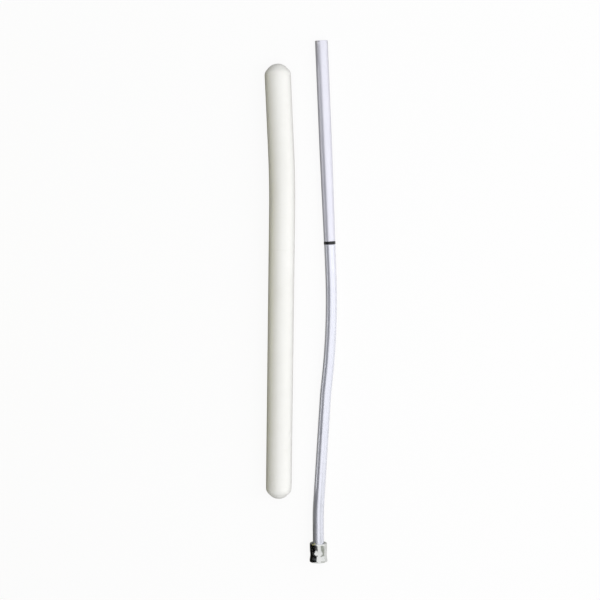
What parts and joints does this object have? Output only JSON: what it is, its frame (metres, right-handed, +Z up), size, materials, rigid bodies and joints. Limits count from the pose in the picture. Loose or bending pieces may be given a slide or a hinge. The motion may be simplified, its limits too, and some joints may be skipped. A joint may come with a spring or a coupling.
{
  "type": "white cane",
  "caption": "Plug-in white cane with a black ring at its joint, an elastic cord inside and a chrome tip, lying beside its cream carrying case with a pull-off cap.",
  "frame": {"origin": "on the table, midway along and across cane and case together", "axes": "+Y along the case towards its cap, +X from the case to the cane, +Z up from the table"},
  "size_m": [0.1301, 0.9127, 0.045],
  "materials": {
    "tube_white": "gloss",
    "ring_black": "gloss",
    "joint_alloy": "satin",
    "nylon": "satin",
    "steel": "satin",
    "elastic_cord": "matte",
    "tip_chrome": "polished",
    "tip_rubber": "matte",
    "case_cream": "satin",
    "case_ring": "matte"
  },
  "bodies": {
    "upper_section": {"upper_tube": "tube_white", "joint_sleeve": "joint_alloy", "anchor_bush": "nylon", "top_cap": "tube_white", "knot_washer": "steel", "cord_knot": "elastic_cord", "cord_upper": "elastic_cord"},
    "ring_carrier": {"joint_ring": "ring_black"},
    "lower_section": {"lower_tube": "tube_white", "joint_spigot": "joint_alloy", "spigot_nose": "nylon", "cord_lower": "elastic_cord"},
    "tip": {"tip_shell": "tip_chrome", "tip_stem": "nylon", "tip_eye": "steel", "tip_screw": "steel", "tip_pad": "tip_rubber", "cord_crimp": "steel"},
    "case_base": {"case_body": "case_cream", "case_neck": "case_cream", "neck_ring": "case_ring"},
    "case_top": {"case_cap": "case_cream"}
  },
  "joints": [
    {"name": "joint_pull", "type": "slide", "parent": "upper_section", "child": "ring_carrier", "axis": [0.0558, -0.9984, 0.0053], "range_m": [0, 0.055], "stiffness_N_per_m": 220, "springref_m": -0.07, "deforming": ["cord_upper"]},
    {"name": "joint_twist", "type": "hinge", "parent": "ring_carrier", "child": "lower_section", "pos_m": [0.05, 0.111, 0.01275], "axis": [-0.0558, 0.9984, -0.0053], "continuous": true},
    {"name": "tip_pull", "type": "slide", "parent": "lower_section", "child": "tip", "axis": [0.0218, -0.9997, 0.0053], "range_m": [0, 0.05], "stiffness_N_per_m": 220, "springref_m": -0.07, "deforming": ["cord_lower"]},
    {"name": "case_lift", "type": "slide", "parent": "upper_section", "child": "case_base", "axis": [0, 0, 1], "range_m": [0, 0.15]},
    {"name": "cap_pull", "type": "slide", "parent": "case_base", "child": "case_top", "axis": [0, 1, 0], "range_m": [0, 0.11]}
  ]
}
